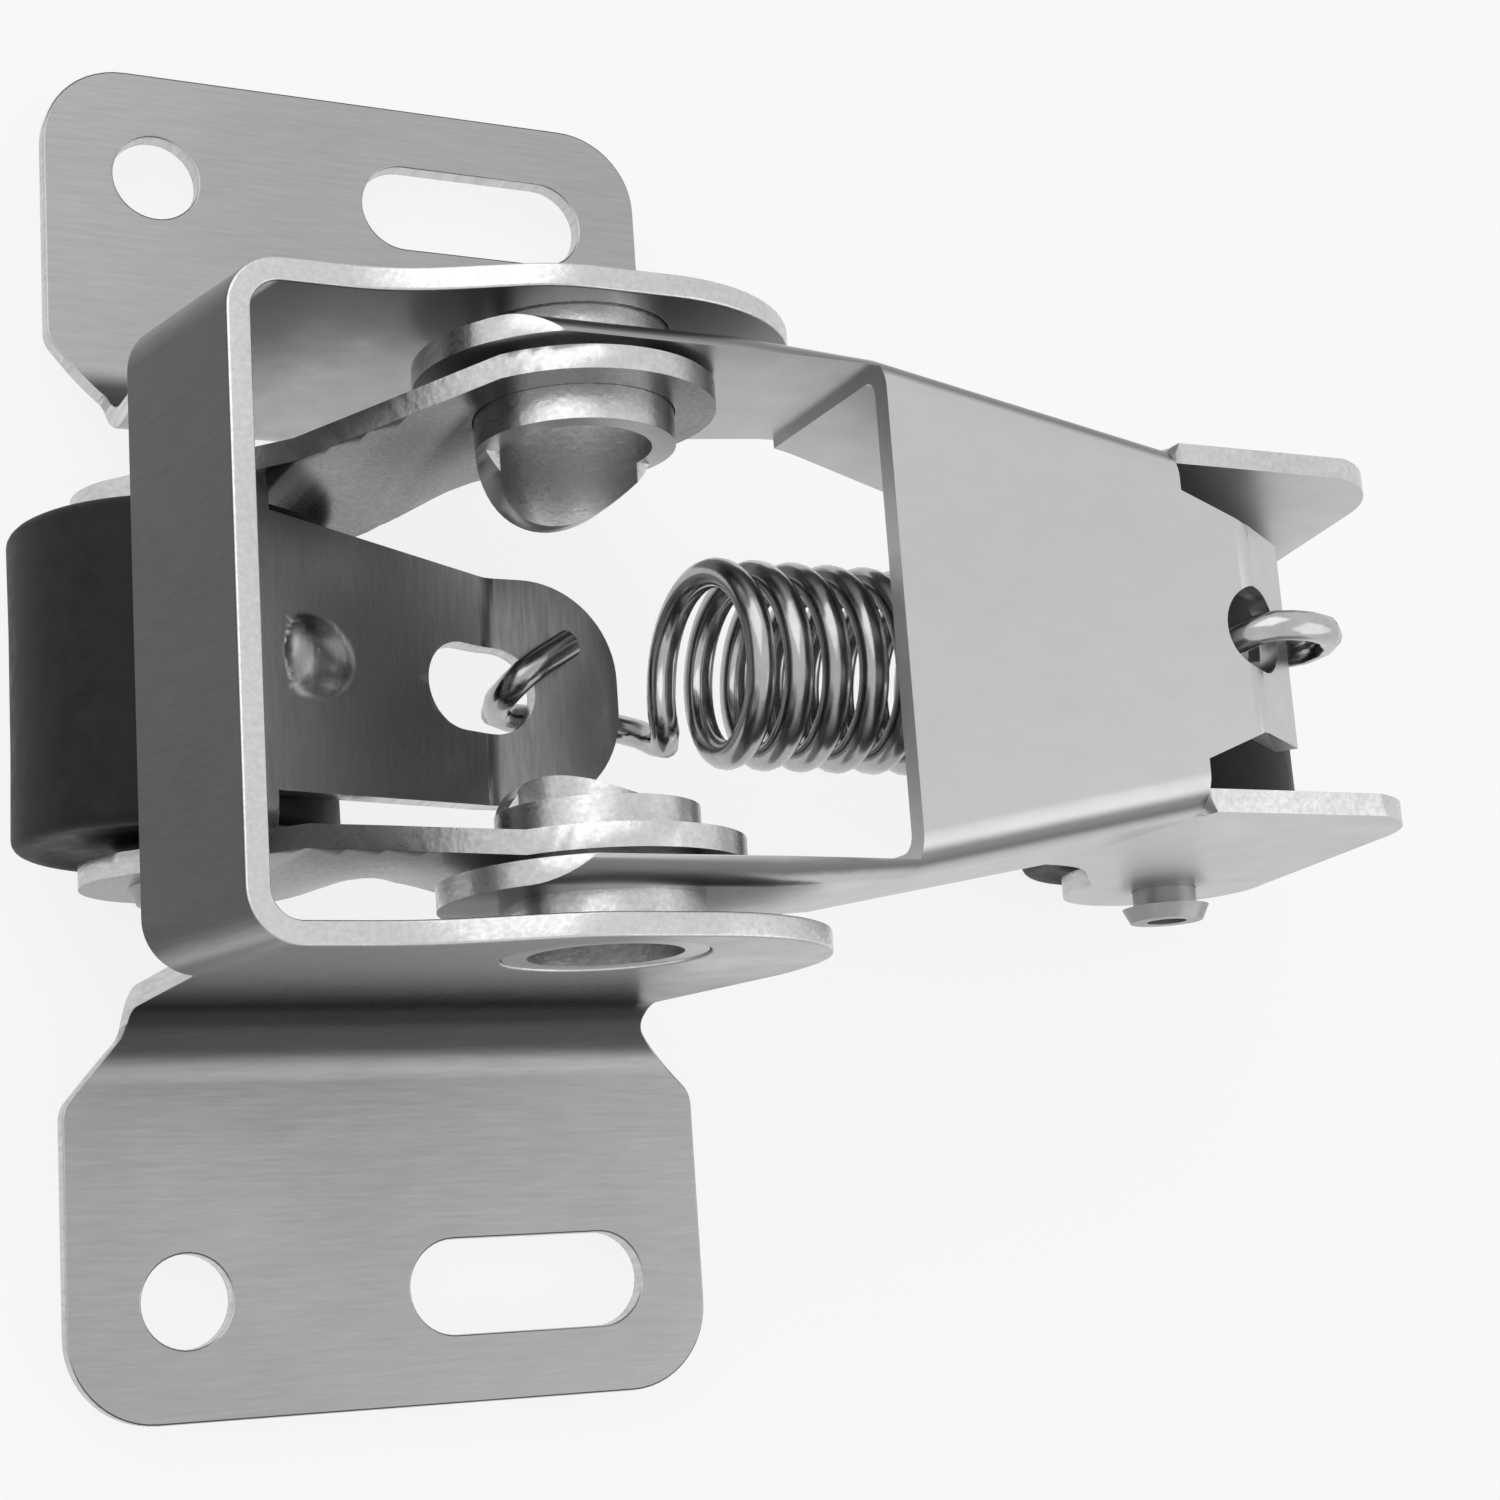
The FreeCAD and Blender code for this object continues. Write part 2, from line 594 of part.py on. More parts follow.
def main():
    os.makedirs("parts", exist_ok=True)
    write("mounting_frame", mounting_frame())
    write("catch_lever", catch_lever())
    write("roller_yoke", roller_yoke())
    write("yoke_roller", roller(YOKE_ROLLER_X))
    write("lever_roller", roller(LEVER_ROLLER_X))
    write("yoke_axle", axle(YOKE_ROLLER_X, YOKE_EAR_HALF, 0, 0))
    write("lever_axle", axle(LEVER_ROLLER_X, LEVER_TIP_HALF, LEVER_HEAD_STANDOFF, LEVER_AXLE_BORE))
    write("tension_spring", tension_spring())


main()
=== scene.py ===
# %% [markdown]
# A screen door catch, dressed for its picture. It is a bent steel frame, a lever and a yoke that
# share one pivot line, two rubber rollers and a tension spring. The solids already have their
# sizes. This lesson gives them finishes, reworks a few stamped forms in the mesh, redraws the
# rollers and the spring more finely, and sets the floor, the light and the camera.

# %% Load the solids
import math
import bmesh
import bpy
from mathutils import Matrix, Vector


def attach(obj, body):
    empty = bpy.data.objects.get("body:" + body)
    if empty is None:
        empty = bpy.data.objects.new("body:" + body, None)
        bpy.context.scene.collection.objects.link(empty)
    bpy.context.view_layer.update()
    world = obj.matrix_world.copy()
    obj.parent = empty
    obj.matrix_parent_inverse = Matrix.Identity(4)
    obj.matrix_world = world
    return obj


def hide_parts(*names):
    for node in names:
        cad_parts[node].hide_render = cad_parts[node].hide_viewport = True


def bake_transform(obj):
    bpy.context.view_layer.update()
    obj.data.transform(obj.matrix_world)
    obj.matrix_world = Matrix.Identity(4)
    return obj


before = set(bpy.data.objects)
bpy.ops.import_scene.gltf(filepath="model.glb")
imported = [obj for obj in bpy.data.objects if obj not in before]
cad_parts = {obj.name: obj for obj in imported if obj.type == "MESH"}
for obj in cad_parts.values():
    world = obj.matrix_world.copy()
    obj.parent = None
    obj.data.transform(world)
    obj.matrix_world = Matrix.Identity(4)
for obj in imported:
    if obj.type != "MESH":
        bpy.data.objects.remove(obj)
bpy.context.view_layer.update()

MM = 0.001

# %% [markdown]
# Every finish here is a small tree of shader nodes, and the same few steps come back in each of
# them: make a node with its values, turn a pattern into greys, carry one span of numbers to
# another. Each step gets a short helper, so that a material further down reads as a recipe.

# %% Helpers for shader trees
def node_of(tree, kind, **values):
    """A new node, with its sockets or settings given by name."""
    node = tree.nodes.new(kind)
    for name, value in values.items():
        if name in node.inputs:
            node.inputs[name].default_value = value
        else:
            setattr(node, name, value)
    return node


def ramp(tree, source, stops):
    """A colour ramp with (place, grey) stops, fed by a node's output."""
    node = tree.nodes.new("ShaderNodeValToRGB")
    elements = node.color_ramp.elements
    for element, (place, grey) in zip((elements[0], elements[1]), (stops[0], stops[-1])):
        element.position = place
        element.color = (grey, grey, grey, 1)
    for place, grey in stops[1:-1]:
        elements.new(place).color = (grey, grey, grey, 1)
    tree.links.new(source, node.inputs["Fac"])
    return node.outputs["Color"]


def spread(tree, source, span, levels):
    """A value carried smoothly from a span to two levels, and held at its ends."""
    node = tree.nodes.new("ShaderNodeMapRange")
    node.interpolation_type = "SMOOTHSTEP"
    for socket, value in zip(node.inputs[1:5], (*span, *levels)):
        socket.default_value = value
    tree.links.new(source, node.inputs[0])
    return node.outputs[0]


def of_two(tree, operation, first, second):
    """A Math node that joins two values."""
    node = node_of(tree, "ShaderNodeMath", operation=operation)
    tree.links.new(first, node.inputs[0])
    tree.links.new(second, node.inputs[1])
    return node.outputs[0]


def place_and_facing(tree):
    """The X, Y and Z of a point's place and of the way its surface faces."""
    coord = tree.nodes.new("ShaderNodeTexCoord")
    parts = []
    for name in ("Object", "Normal"):
        split = tree.nodes.new("ShaderNodeSeparateXYZ")
        tree.links.new(coord.outputs[name], split.inputs[0])
        parts.append(split.outputs)
    return parts


print("helpers ready")

# %% [markdown]
# In the picture the catch looks darker in three places: the outside of the frame's web, the fold
# above each flange, and a line along the bends beside the lever's web. A painted image could hold
# them, but then it would need a layout on the surface. Here a level between 0 and 1 is worked out
# from where a point lies and which way it faces, and it later multiplies the plate's grey.
# All three darker places are painted shade in the plate's grey.

# %% Painted shade on the frame
WEB_SHADE = 0.24
WEB_FACING = (-0.9, -0.5)
WEB_HEIGHT = (0.006, 0.012)
FOLD_SHADE = 0.2
FOLD_OUTSIDE = (0.002, 0.008)
FOLD_HEIGHT = (0.003, 0.020)


def frame_painted_shade(tree):
    """Painted shade: low on the web's outside and in the fold above each flange, and 1 elsewhere."""
    place, facing = place_and_facing(tree)
    faces_left = spread(tree, facing["X"], WEB_FACING, (WEB_SHADE, 1.0))
    low_down = spread(tree, place["Z"], WEB_HEIGHT, (1.0, WEB_SHADE))
    web = of_two(tree, "MAXIMUM", faces_left, low_down)
    outside = of_two(tree, "MULTIPLY", facing["Y"], place["Y"])
    faces_out = spread(tree, outside, FOLD_OUTSIDE, (1.0, FOLD_SHADE))
    near_fold = spread(tree, place["Z"], FOLD_HEIGHT, (FOLD_SHADE, 1.0))
    fold = of_two(tree, "MAXIMUM", faces_out, near_fold)
    return of_two(tree, "MULTIPLY", web, fold)


print("web at", WEB_SHADE, "fold at", FOLD_SHADE)

# %% Painted shade line on the lever
BEND_SHADE = 0.35
BEND_ENTRY = (0.35, 0.6)
BEND_EXIT = (0.75, 0.93)
BEND_HEIGHT = (0.020, 0.024)


def lever_painted_shade(tree):
    """Painted shade: low along the bends between the lever's web and its walls, and 1 elsewhere."""
    place, facing = place_and_facing(tree)
    side = node_of(tree, "ShaderNodeMath", operation="ABSOLUTE")
    tree.links.new(facing["Y"], side.inputs[0])
    entry = spread(tree, side.outputs[0], BEND_ENTRY, (1.0, BEND_SHADE))
    leaving = spread(tree, side.outputs[0], BEND_EXIT, (BEND_SHADE, 1.0))
    bend = of_two(tree, "MAXIMUM", entry, leaving)
    low_down = spread(tree, place["Z"], BEND_HEIGHT, (1.0, 0.0))
    return of_two(tree, "MAXIMUM", bend, low_down)


print("bend at", BEND_SHADE)

# %% [markdown]
# Plated sheet steel is a grey metal with a faint grain from rolling, soft clouds in its polish
# and small specks. One noise, stretched, makes the grain, and a broad one makes the clouds. Their
# mix moves the grey and the roughness together. With a fine noise added it also makes a shallow
# bump, so that highlights break up as they do on plate. Noise suits it better than an image, which
# would blur from close by and show where it repeats.

# %% Plated steel
GRAIN_SCALE, CLOUD_SCALE, SPECK_SCALE = 420, 75, 2600
GRAIN_SHARE = 0.55
BUMP_DEPTH = 0.03 * MM


def grain_and_clouds(tree, place, grain):
    """Stretched lines and broad clouds, mixed into one pattern."""
    stretch = tree.nodes.new("ShaderNodeMapping")
    stretch.inputs["Scale"].default_value = grain
    tree.links.new(place, stretch.inputs["Vector"])
    lines = node_of(tree, "ShaderNodeTexNoise", Scale=GRAIN_SCALE, Detail=6, Roughness=0.6)
    tree.links.new(stretch.outputs["Vector"], lines.inputs["Vector"])
    clouds = node_of(tree, "ShaderNodeTexNoise", Scale=CLOUD_SCALE, Detail=5, Roughness=0.55)
    tree.links.new(place, clouds.inputs["Vector"])
    both = node_of(tree, "ShaderNodeMix", data_type="FLOAT")
    both.inputs[0].default_value = GRAIN_SHARE
    tree.links.new(clouds.outputs["Fac"], both.inputs[2])
    tree.links.new(lines.outputs["Fac"], both.inputs[3])
    return both.outputs[0]


def dimmed(tree, shade, level):
    """A colour multiplied by a level."""
    mix = node_of(tree, "ShaderNodeMix", data_type="RGBA", blend_type="MULTIPLY")
    mix.inputs[0].default_value = 1.0
    tree.links.new(shade, mix.inputs[6])
    tree.links.new(level, mix.inputs[7])
    return mix.outputs[2]


def plated_steel(name, grey, grain=(1, 14, 1), rough=(0.24, 0.36), contrast=0.05, bump=0.1, shade_painter=None):
    mat = bpy.data.materials.new(name)
    mat.use_nodes = True
    tree = mat.node_tree
    shader = tree.nodes["Principled BSDF"]
    shader.inputs["Metallic"].default_value = 1.0
    place = tree.nodes.new("ShaderNodeTexCoord").outputs["Object"]
    pattern = grain_and_clouds(tree, place, grain)
    shade = ramp(tree, pattern, [(0.3, grey - contrast), (0.5, grey), (0.7, grey + contrast)])
    # painted shade: where a stamping has one, its level darkens the plate's grey
    if shade_painter:
        shade = dimmed(tree, shade, shade_painter(tree))
    tree.links.new(shade, shader.inputs["Base Color"])
    dull = ramp(tree, pattern, [(0.3, rough[1]), (0.7, rough[0])])
    tree.links.new(dull, shader.inputs["Roughness"])
    specks = node_of(tree, "ShaderNodeTexNoise", Scale=SPECK_SCALE, Detail=2)
    tree.links.new(place, specks.inputs["Vector"])
    rise = of_two(tree, "ADD", specks.outputs["Fac"], pattern)
    dent = node_of(tree, "ShaderNodeBump", Strength=bump, Distance=BUMP_DEPTH)
    tree.links.new(rise, dent.inputs["Height"])
    tree.links.new(dent.outputs["Normal"], shader.inputs["Normal"])
    return mat


# %% The plates of this catch
even = (1, 1, 1)
# The stampings share one plating: the lever's lighter grey is painted light, and the yoke's darker
# grey is painted shade.
frame_plate = plated_steel("frame_plate", 0.36, shade_painter=frame_painted_shade)
lever_plate_painted_light = plated_steel("lever_plate_painted_light", 0.5, grain=(1, 2, 1), contrast=0.025, rough=(0.28, 0.38),
                           shade_painter=lever_painted_shade)
yoke_plate_painted_shade = plated_steel("yoke_plate_painted_shade", 0.25, grain=(10, 1, 10), contrast=0.07)
rivet_plate = plated_steel("rivet_plate", 0.30, grain=even, rough=(0.25, 0.45))
bright_wire = plated_steel("bright_wire", 0.42, grain=even, rough=(0.12, 0.25), contrast=0.12)
cut_steel = plated_steel("cut_steel", 0.56, grain=(9, 9, 1), rough=(0.2, 0.4), contrast=0.12, bump=0.5)
print("plates", frame_plate.name, lever_plate_painted_light.name, yoke_plate_painted_shade.name, rivet_plate.name)

# %% [markdown]
# The rollers are moulded black rubber. It is dull, almost black, with a little dust in its pores.
# A flat black would look like a hole in the picture, so a fine noise moves the grey and the
# roughness slightly and gives a pitted bump. The gloss is turned down on the shader itself.

# %% Black rubber
PORE_SCALE = 900
PORE_DEPTH = 0.05 * MM
RUBBER_GLOSS = 0.2


def moulded_rubber():
    mat = bpy.data.materials.new("roller_rubber")
    mat.use_nodes = True
    tree = mat.node_tree
    shader = tree.nodes["Principled BSDF"]
    shader.inputs["Specular IOR Level"].default_value = RUBBER_GLOSS
    place = tree.nodes.new("ShaderNodeTexCoord").outputs["Object"]
    pores = node_of(tree, "ShaderNodeTexNoise", Scale=PORE_SCALE, Detail=6)
    tree.links.new(place, pores.inputs["Vector"])
    shade = ramp(tree, pores.outputs["Fac"], [(0.35, 0.006), (0.7, 0.020)])
    tree.links.new(shade, shader.inputs["Base Color"])
    dull = ramp(tree, pores.outputs["Fac"], [(0.3, 0.45), (0.7, 0.62)])
    tree.links.new(dull, shader.inputs["Roughness"])
    dent = node_of(tree, "ShaderNodeBump", Strength=0.25, Distance=PORE_DEPTH)
    tree.links.new(pores.outputs["Fac"], dent.inputs["Height"])
    tree.links.new(dent.outputs["Normal"], shader.inputs["Normal"])
    return mat


rubber = moulded_rubber()
print("rubber", rubber.name)

# %% [markdown]
# The two riveted axles keep their solids, and need only a finish. The other nodes are given theirs
# in the same list, and the stampings further down look theirs up in it.

# %% Finishes for the solids
finishes = {
    "mounting_frame": frame_plate, "catch_lever": lever_plate_painted_light, "roller_yoke": yoke_plate_painted_shade,
    "yoke_roller": rubber, "lever_roller": rubber, "yoke_axle": rivet_plate,
    "lever_axle": rivet_plate, "tension_spring": bright_wire,
}
for name, finish in finishes.items():
    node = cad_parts[name]
    node.data.materials.clear()
    node.data.materials.append(finish)
print("finished", len(finishes), "nodes")

# %% [markdown]
# Stamped sheet shows two skins: the rolled face, and the narrow cut edge, which is brighter and
# carries fine marks from the shear. Marking the edge faces by hand would be slow, so a short rule
# for each stamping tells them apart by where a face lies and which way it faces: a cut edge faces
# along the sheet, never across it.

# %% Find the cut edges
SHEET = 1.1 * MM
ALONG_SHEET = 0.3
FACES_UP = 0.9
FLANGE_TOP, FOLD_TOP, TOP_EDGES = SHEET * 1.01, 4 * MM, 20 * MM
FRAME_WALL_Y = 13.7 * MM
LEVER_WEB_Z, LEVER_WEB_X, WEB_EDGE_X = 26.3 * MM, 26 * MM, 28 * MM
ARM_Y = 8 * MM


def frame_cut(face):
    """True for the cut edges of the frame's flanges, walls and web."""
    middle, way = face.calc_center_median(), face.normal
    if middle.z <= FLANGE_TOP:
        return abs(way.z) < ALONG_SHEET
    if middle.z > TOP_EDGES and way.z > FACES_UP:
        return True
    return abs(middle.y) > FRAME_WALL_Y and middle.z > FOLD_TOP and abs(way.y) < ALONG_SHEET


def lever_cut(face):
    """True for the edges of the lever's arms and walls, and for its web's left edge."""
    middle, way = face.calc_center_median(), face.normal
    if middle.z > LEVER_WEB_Z and middle.x > LEVER_WEB_X:
        return abs(way.z) < ALONG_SHEET and middle.x < WEB_EDGE_X
    return abs(way.y) < ALONG_SHEET and abs(middle.y) > ARM_Y


def yoke_cut(face):
    """True for the edges of the yoke's arms and of its slotted plate."""
    middle, way = face.calc_center_median(), face.normal
    if abs(middle.y) > ARM_Y:
        return abs(way.y) < ALONG_SHEET
    return abs(way.z) < ALONG_SHEET


print("a cut edge has less than", ALONG_SHEET, "of its normal across the sheet")

# %% [markdown]
# The yoke's two arms are not flat: between the roller and the pivot each one is pressed inwards
# towards its lower edge, like a leaf. The large flat faces have no points inside them to move, so
# bisect_plane first divides the mesh with a row of planes each way. Then each point of an arm
# moves in by an amount that is smooth along and down the arm.

# %% Press the arms
ARM_LEFT, ARM_RIGHT = 2.5 * MM, 14.5 * MM
ARM_TOP, ARM_LOW = 21.0 * MM, 7.0 * MM
ARM_PRESS = 1.9 * MM
ARM_INSIDE = 7.9 * MM
ARM_CUTS_ALONG, ARM_CUTS_DOWN = 14, 9
ARM_EASE_ALONG, ARM_EASE_DOWN = 2.5, 1.6
ON_PLANE = 1e-7


def divide(shape, place, way):
    """Cut every face that a plane crosses, and keep both sides."""
    everything = shape.verts[:] + shape.edges[:] + shape.faces[:]
    bmesh.ops.bisect_plane(shape, geom=everything, plane_co=place, plane_no=way, dist=ON_PLANE)


def pressed_arms(shape):
    for step in range(ARM_CUTS_ALONG + 1):
        divide(shape, (ARM_LEFT + (ARM_RIGHT - ARM_LEFT) * step / ARM_CUTS_ALONG, 0, 0), (1, 0, 0))
    for step in range(ARM_CUTS_DOWN + 1):
        divide(shape, (0, 0, ARM_LOW + (ARM_TOP - ARM_LOW) * step / ARM_CUTS_DOWN), (0, 0, 1))
    moved = 0
    for point in shape.verts:
        if abs(point.co.y) < ARM_INSIDE or not ARM_LEFT < point.co.x < ARM_RIGHT:
            continue
        along = math.sin(math.pi * (point.co.x - ARM_LEFT) / (ARM_RIGHT - ARM_LEFT)) ** ARM_EASE_ALONG
        down = min(max((ARM_TOP - point.co.z) / (ARM_TOP - ARM_LOW), 0), 1)
        point.co.y -= math.copysign(ARM_PRESS * along * down ** ARM_EASE_DOWN, point.co.y)
        moved += 1
    print("arm points pressed", moved)


# %% [markdown]
# The dart in the yoke's plate is a pressed bump with a rounded nose. More planes divide the plate
# round it, and each point of the upper face is set on half an egg that stands on the slope.

# %% Round the dart
PLATE_SLOPE, PLATE_X, PLATE_Z = -0.4719, 14.1 * MM, 8.8 * MM
DART_X, DART_NOSE, DART_TAIL = 3.2 * MM, 2.5 * MM, 1.4 * MM
DART_HALF, DART_HEIGHT, DART_ROUND = 1.9 * MM, 0.8 * MM, 0.9
CUTS_X, CUTS_LEFT, APART_X = 16, 1.3 * MM, 0.3 * MM
CUTS_Y, CUTS_LOW, APART_Y = 13, -2.1 * MM, 0.35 * MM
PATCH_LEFT, PATCH_RIGHT, PATCH_HALF, PATCH_DEPTH = 1.35 * MM, 6 * MM, 2.15 * MM, 0.3 * MM
DART_WELD = 2e-5


def rounded_dart(shape):
    for step in range(CUTS_X):
        divide(shape, (CUTS_LEFT + APART_X * step, 0, 0), (1, 0, 0))
    for step in range(CUTS_Y):
        divide(shape, (0, CUTS_LOW + APART_Y * step, 0), (0, 1, 0))
    for point in shape.verts:
        x, y, z = point.co
        plate = PLATE_Z + PLATE_SLOPE * (x - PLATE_X)
        if not PATCH_LEFT < x < PATCH_RIGHT or abs(y) > PATCH_HALF or z < plate - PATCH_DEPTH:
            continue
        reach = DART_NOSE if x > DART_X else DART_TAIL
        away = ((x - DART_X) / reach) ** 2 + (y / DART_HALF) ** 2
        point.co.z = plate + DART_HEIGHT * max(0, 1 - away) ** DART_ROUND
    bmesh.ops.remove_doubles(shape, verts=shape.verts, dist=DART_WELD)
    print("dart rounded")


def pressed_yoke(shape):
    rounded_dart(shape)
    pressed_arms(shape)


# %% [markdown]
# Past the end of the web, the lever's walls are plain cut sheet, with no trace of the bend. The
# points of the rounded shoulder there are moved out into the wall's plane, which leaves a flat,
# bright edge as wide as the sheet is thick.

# %% Square the lever's far walls
WALL_START, BEND_LOW = 43.2 * MM, 25.62 * MM
WALL_INSIDE, WALL_OUTSIDE = 8.0 * MM, 9.1 * MM
NEAR_ENOUGH = 0.01 * MM


def squared_walls(shape):
    divide(shape, (WALL_START, 0, 0), (1, 0, 0))
    for point in shape.verts:
        side = abs(point.co.y)
        beyond = point.co.x > WALL_START - NEAR_ENOUGH and point.co.z > BEND_LOW
        if beyond and WALL_INSIDE + NEAR_ENOUGH < side < WALL_OUTSIDE:
            point.co.y = math.copysign(WALL_OUTSIDE, point.co.y)
    shape.normal_update()
    for face in shape.faces:
        middle = face.calc_center_median()
        if middle.x > WALL_START and abs(middle.y) > WALL_INSIDE - NEAR_ENOUGH:
            face.material_index = 1 if abs(face.normal.y) < ALONG_SHEET else 0
    print("far walls squared")


# %% [markdown]
# Now each stamping is dressed. A node's own mesh stays as it is, so a copy is taken, its loose
# triangles are welded, and flat areas are joined into single faces. A narrow Bevel modifier rounds
# every sharp edge, which is easier to adjust than cut geometry, and a Weighted Normal modifier
# keeps the large faces looking flat beside those edges.

# %% Dress the stampings
EDGE_ROLL = 0.15 * MM
SHARP = math.radians(40)
FLAT = math.radians(0.3)
WELD = 1e-6


def linked(name, data):
    """A new object for a mesh, curve, lamp or camera, placed in the scene."""
    thing = bpy.data.objects.new(name, data)
    bpy.context.scene.collection.objects.link(thing)
    return thing


def sheet_part(name, body, is_cut, press=None):
    mesh = bpy.data.meshes.new(name + "_sheet")
    shape = bmesh.new()
    shape.from_mesh(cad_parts[name].data)
    bmesh.ops.remove_doubles(shape, verts=shape.verts, dist=WELD)
    bmesh.ops.dissolve_limit(shape, angle_limit=FLAT, verts=shape.verts, edges=shape.edges)
    for face in shape.faces:
        face.material_index = 1 if is_cut(face) else 0
        face.smooth = True
    if press:
        press(shape)
    shape.to_mesh(mesh)
    shape.free()
    piece = linked(name + "_sheet", mesh)
    mesh.materials.append(finishes[name])
    mesh.materials.append(cut_steel)
    bevel = piece.modifiers.new("rolled edge", "BEVEL")
    bevel.width = EDGE_ROLL
    bevel.segments = 2
    bevel.limit_method = "ANGLE"
    bevel.angle_limit = SHARP
    evened = piece.modifiers.new("flat faces stay flat", "WEIGHTED_NORMAL")
    evened.mode = "FACE_AREA"
    evened.weight = 100
    evened.keep_sharp = True
    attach(piece, body)
    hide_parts(name)
    print(piece.name, "faces", len(mesh.polygons))


sheet_part("mounting_frame", "frame", frame_cut)
sheet_part("catch_lever", "lever", lever_cut, squared_walls)
sheet_part("roller_yoke", "yoke", yoke_cut, pressed_yoke)

# %% [markdown]
# A roller could be a cylinder with bevels, but one outline, spun round the axle's line, gives the
# closed ring, its bore and the form of its ends together. The outline has rounded corners and a
# faint hollow in each end, as moulded rubber has, and its middle is a trace slimmer.

# %% Rollers
ROLLER_R, ROLLER_HALF, BORE_R, ROLLER_Z = 7.75, 7.65, 1.82, 5.8
ROLLER_CORNER, CORNER_STEPS = 0.55, 5
HOLLOW_IN, HOLLOW_OUT, HOLLOW_EASE, HOLLOW_DEPTH = 3.3, 6.3, 0.4, 0.25
WAIST, WAIST_HALF = 0.06, 3.0
ROLLER_STEPS = 72
ROLLER_WELD = 1e-7
ROLLER_SHARP = math.radians(38)


def roller_outline():
    """Radius and Y of the outline's points, from one end's bore to the other's."""
    floor_y = ROLLER_HALF - HOLLOW_DEPTH
    points = [
        (BORE_R, ROLLER_HALF), (HOLLOW_IN - HOLLOW_EASE, ROLLER_HALF), (HOLLOW_IN, floor_y),
        (HOLLOW_OUT, floor_y), (HOLLOW_OUT + HOLLOW_EASE, ROLLER_HALF),
    ]
    inner_r, inner_y = ROLLER_R - ROLLER_CORNER, ROLLER_HALF - ROLLER_CORNER
    for step in range(CORNER_STEPS + 1):
        turn = math.pi / 2 * step / CORNER_STEPS
        reach, rise = ROLLER_CORNER * math.sin(turn), ROLLER_CORNER * math.cos(turn)
        points.append((inner_r + reach, inner_y + rise))
    points.append((ROLLER_R - WAIST, WAIST_HALF))
    return points + [(r, -y) for r, y in reversed(points)]


def rubber_roller(name, body, x):
    shape = bmesh.new()
    ring = [shape.verts.new(((x + r) * MM, y * MM, ROLLER_Z * MM)) for r, y in roller_outline()]
    rim = [shape.edges.new((ring[i - 1], ring[i])) for i in range(len(ring))]
    bmesh.ops.spin(shape, geom=ring + rim, cent=(x * MM, 0, ROLLER_Z * MM), axis=(0, 1, 0),
                   angle=2 * math.pi, steps=ROLLER_STEPS, use_merge=True)
    bmesh.ops.remove_doubles(shape, verts=shape.verts, dist=ROLLER_WELD)
    bmesh.ops.recalc_face_normals(shape, faces=shape.faces)
    for face in shape.faces:
        face.smooth = True
    mesh = bpy.data.meshes.new(name + "_rubber")
    shape.to_mesh(mesh)
    shape.free()
    piece = linked(name + "_rubber", mesh)
    mesh.materials.append(rubber)
    mesh.set_sharp_from_angle(angle=ROLLER_SHARP)
    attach(piece, body)
    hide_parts(name)
    print(piece.name, "faces", len(mesh.polygons))


rubber_roller("yoke_roller", "yoke_wheel", -1.1)
rubber_roller("lever_roller", "lever_wheel", 55.4)

# %% [markdown]
# The spring is one round wire: a hook up through the yoke's tongue, ten and a half close turns,
# and a hook over the lever's tab. A NURBS curve through all of it, given thickness, is smooth
# where the solid has flat sides. The hooks' points are given one by one, and the turns are worked
# out. The coil crosses the joint between yoke and lever.

# %% The spring's line
COIL_X, COIL_Z, COIL_R = 22.2, 15.9, 4.45
PITCH, TURNS, STEPS = 2.02, 10.5, 24
tongue_hook = [
    (18.12, 2.4, 9.67), (16.12, 1.2, 10.07), (14.72, 0.0, 10.27), (14.82, -0.6, 6.07),
    (17.32, -0.8, 6.47), (21.0, -1.0, 6.47), (22.79, -1.5, 7.37), (22.79, -3.2, 10.65),
    (22.1, -1.4, 11.45),
]
tab_hook = [
    (43.51, -1.4, 20.35), (44.01, -3.0, 21.95), (45.45, -0.9, 24.2), (46.55, 0.0, 27.5),
    (47.95, 0.0, 28.2), (50.4, 0.0, 27.9), (52.2, 0.0, 25.4), (51.8, 0.0, 22.6), (49.3, 0.0, 22.4),
]


def spring_points():
    points = list(tongue_hook)
    for i in range(int(TURNS * STEPS) + 1):
        angle = 2 * math.pi * i / STEPS
        y, drop = COIL_R * math.sin(angle), COIL_R * math.cos(angle)
        points.append((COIL_X + PITCH * i / STEPS, y, COIL_Z - drop))
    return points + tab_hook


wire_points = spring_points()
print("spring points", len(wire_points))

# %% Spring wire
WIRE_R = 0.73


def round_wire(points):
    """A mesh of round wire along points in millimetres."""
    curve = bpy.data.curves.new("spring_line", "CURVE")
    curve.dimensions = "3D"
    curve.bevel_depth = WIRE_R * MM
    curve.bevel_resolution = 5
    curve.use_fill_caps = True
    curve.resolution_u = 2
    line = curve.splines.new("NURBS")
    line.points.add(len(points) - 1)
    for knot, (x, y, z) in zip(line.points, points):
        knot.co = (x * MM, y * MM, z * MM, 1)
    line.order_u = 3
    line.use_endpoint_u = True
    holder = linked("spring_line", curve)
    bpy.context.view_layer.update()
    seen = holder.evaluated_get(bpy.context.evaluated_depsgraph_get())
    mesh = bpy.data.meshes.new_from_object(seen)
    bpy.data.objects.remove(holder)
    return mesh


spring_mesh = round_wire(wire_points)
spring = linked("spring_wire", spring_mesh)
spring_mesh.materials.clear()
spring_mesh.materials.append(bright_wire)
for face in spring_mesh.polygons:
    face.use_smooth = True
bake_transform(spring)
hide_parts("tension_spring")
print("spring faces", len(spring_mesh.polygons))

# %% [markdown]
# A pale floor lies just under the rollers. The camera, and mirrors such as plated steel, should
# see even white, but more lamp light would bleach the catch. So the floor's paint is mixed with a
# glow that only those rays see, and the paint under it keeps the soft shadow.

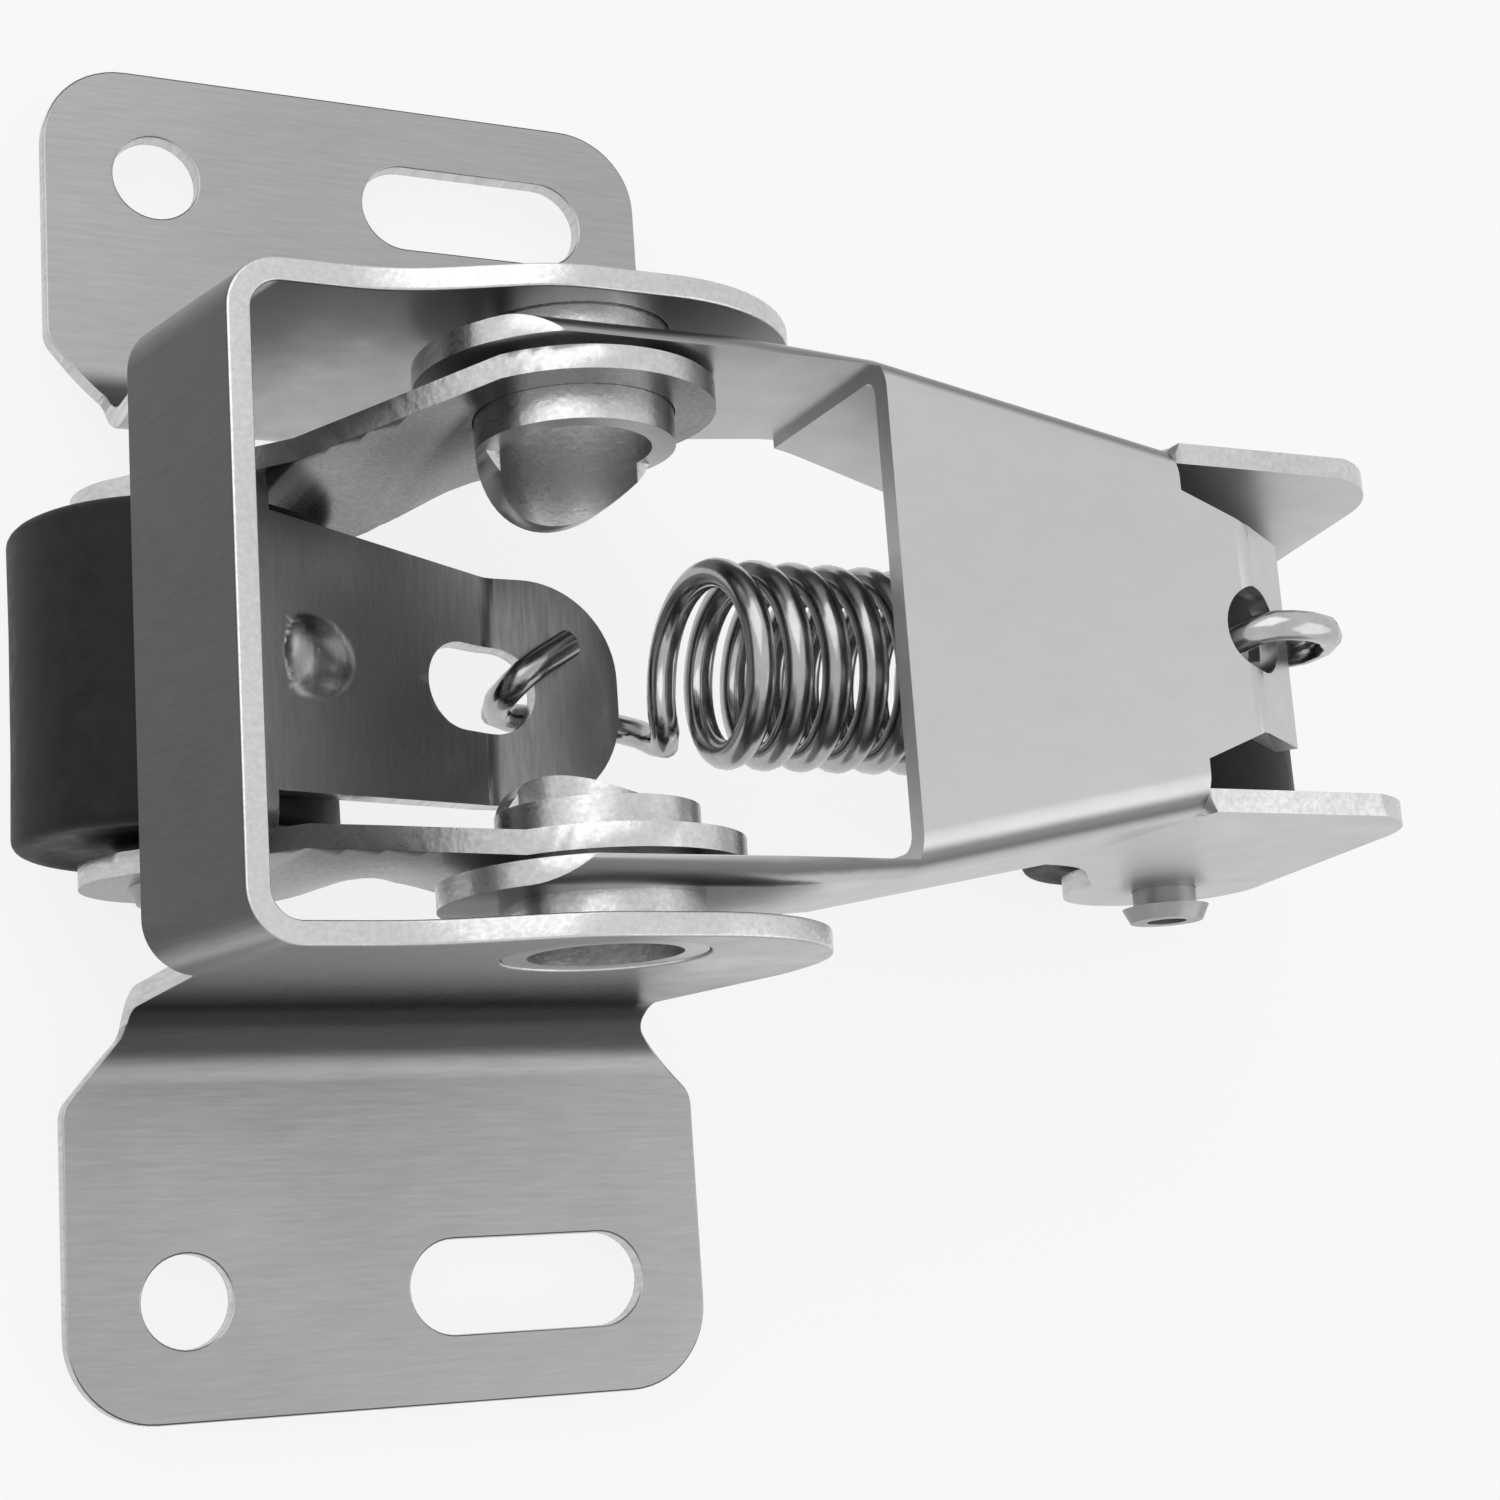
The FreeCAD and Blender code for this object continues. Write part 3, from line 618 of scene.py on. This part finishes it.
# %% Floor
FLOOR_Z = -2.1 * MM
FLOOR_HALF = 8
FLOOR_GREY = 0.9
FLOOR_GLOW = 0.85


def is_seen(tree):
    """One for camera, glossy and transmission rays, and otherwise zero."""
    path = tree.nodes.new("ShaderNodeLightPath")
    total = path.outputs["Is Camera Ray"]
    for name in ("Is Glossy Ray", "Is Transmission Ray"):
        total = of_two(tree, "MAXIMUM", total, path.outputs[name])
    return total


def pale_floor():
    mat = bpy.data.materials.new("floor_paint")
    mat.use_nodes = True
    tree = mat.node_tree
    tree.nodes.clear()
    out = tree.nodes.new("ShaderNodeOutputMaterial")
    paint = node_of(tree, "ShaderNodeBsdfDiffuse", Color=(FLOOR_GREY, FLOOR_GREY, FLOOR_GREY, 1))
    glow = node_of(tree, "ShaderNodeEmission", Color=(1, 1, 1, 1), Strength=1.0)
    part = node_of(tree, "ShaderNodeMath", operation="MULTIPLY")
    part.inputs[1].default_value = FLOOR_GLOW
    tree.links.new(is_seen(tree), part.inputs[0])
    mix = tree.nodes.new("ShaderNodeMixShader")
    tree.links.new(part.outputs[0], mix.inputs[0])
    tree.links.new(paint.outputs[0], mix.inputs[1])
    tree.links.new(glow.outputs[0], mix.inputs[2])
    tree.links.new(mix.outputs[0], out.inputs["Surface"])
    return mat


floor_mesh = bpy.data.meshes.new("floor")
ground = bmesh.new()
bmesh.ops.create_grid(ground, x_segments=1, y_segments=1, size=FLOOR_HALF)
bmesh.ops.translate(ground, verts=ground.verts, vec=(0, 0, FLOOR_Z))
ground.to_mesh(floor_mesh)
ground.free()
floor = linked("floor", floor_mesh)
floor_mesh.materials.append(pale_floor())
print("floor at", FLOOR_Z)

# %% [markdown]
# The world is white to the same rays, and dimmer as a light. That keeps the background white
# while the shadows and the rubber stay at a plain level.

# %% World
WORLD_LIGHT = 0.45

world = bpy.data.worlds.new("studio")
bpy.context.scene.world = world
world.use_nodes = True
sky = world.node_tree
back = sky.nodes["Background"]
level = node_of(sky, "ShaderNodeMix", data_type="FLOAT")
level.inputs[2].default_value = WORLD_LIGHT
level.inputs[3].default_value = 1.0
sky.links.new(is_seen(sky), level.inputs[0])
sky.links.new(level.outputs[0], back.inputs["Strength"])
back.inputs["Color"].default_value = (1, 1, 1, 1)
print("world light", WORLD_LIGHT)

# %% [markdown]
# Two soft lamps light the catch: a broad one from the upper left and a weaker one from the lower
# right. Small lamps would leave hard spots on the plate, so both are large for their distance.

# %% Lamps
LAMP_TARGET = Vector((0.02, 0, 0.01))


def soft_lamp(name, place, watts, size):
    data = bpy.data.lights.new(name, "AREA")
    data.energy = watts
    data.size = size
    lamp = linked(name, data)
    lamp.location = place
    lamp.rotation_euler = (LAMP_TARGET - Vector(place)).to_track_quat("-Z", "Y").to_euler()
    print(name, "watts", watts)


soft_lamp("key", (-0.25, 0.3, 0.45), 1.1, 0.6)
soft_lamp("fill", (0.4, -0.2, 0.3), 0.5, 0.5)

# %% [markdown]
# The picture was taken from close by, over the catch's lower left. The camera stands there and
# leans in towards the catch, and its lens is shifted a little for the framing. A larger shift
# would fit the picture better, but it cut off a flange's corner in some of the other views.

# %% Camera
SENSOR_MM = 36
PICTURE_PIXELS = 1500
FOCAL_PIXELS = 2607.8

lens = bpy.data.cameras.new("camera")
camera = linked("camera", lens)
bpy.context.scene.camera = camera
camera.location = (-0.032728, -0.030099, 0.125436)
camera.rotation_euler = (0.2191, -0.4157, -0.0657)
lens.sensor_width = SENSOR_MM
lens.lens = FOCAL_PIXELS * SENSOR_MM / PICTURE_PIXELS
lens.shift_x = 0.09
lens.shift_y = 0.0307
lens.clip_start = 0.001
lens.clip_end = 10
bpy.context.scene.view_settings.view_transform = "Standard"
print("lens", round(lens.lens, 1), "mm")
